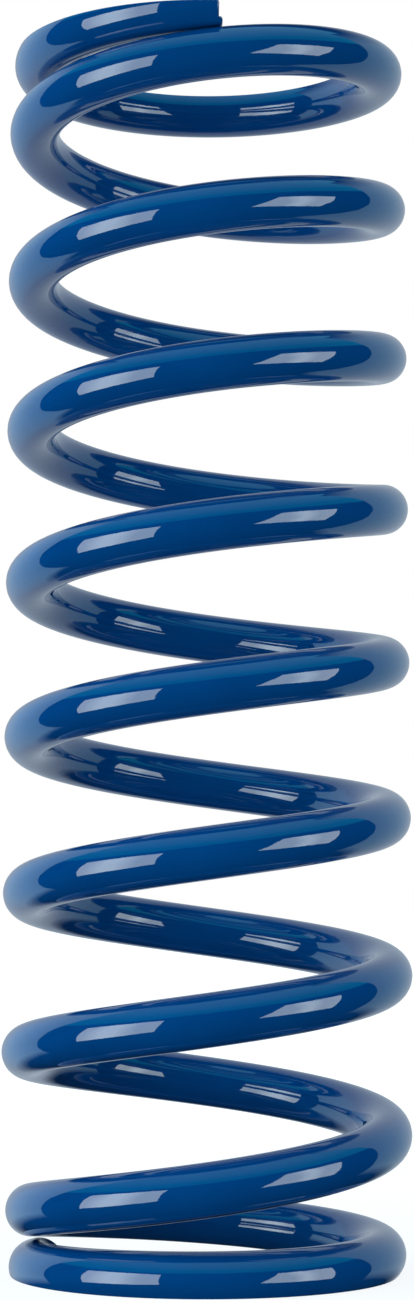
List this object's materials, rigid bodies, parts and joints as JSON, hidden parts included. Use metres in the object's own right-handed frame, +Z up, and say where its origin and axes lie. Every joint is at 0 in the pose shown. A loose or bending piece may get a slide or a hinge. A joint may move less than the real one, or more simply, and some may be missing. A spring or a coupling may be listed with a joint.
{
  "type": "shock spring",
  "caption": "Cylindrical steel compression spring with closed, flat-ground ends and a glossy blue coating, for a shock absorber.",
  "frame": {"origin": "centre of the flat-ground bottom end, on the coil axis", "axes": "+Z up along the coil axis, from the bottom seat to the top seat; -Y is the front, where the top tip ends"},
  "size_m": [0.091, 0.091, 0.275],
  "materials": {
    "blue_coating": "glossy blue powder coat over steel wire, smooth, with sharp reflections"
  },
  "bodies": {
    "root": {"coil_spring": "blue_coating"}
  },
  "joints": []
}
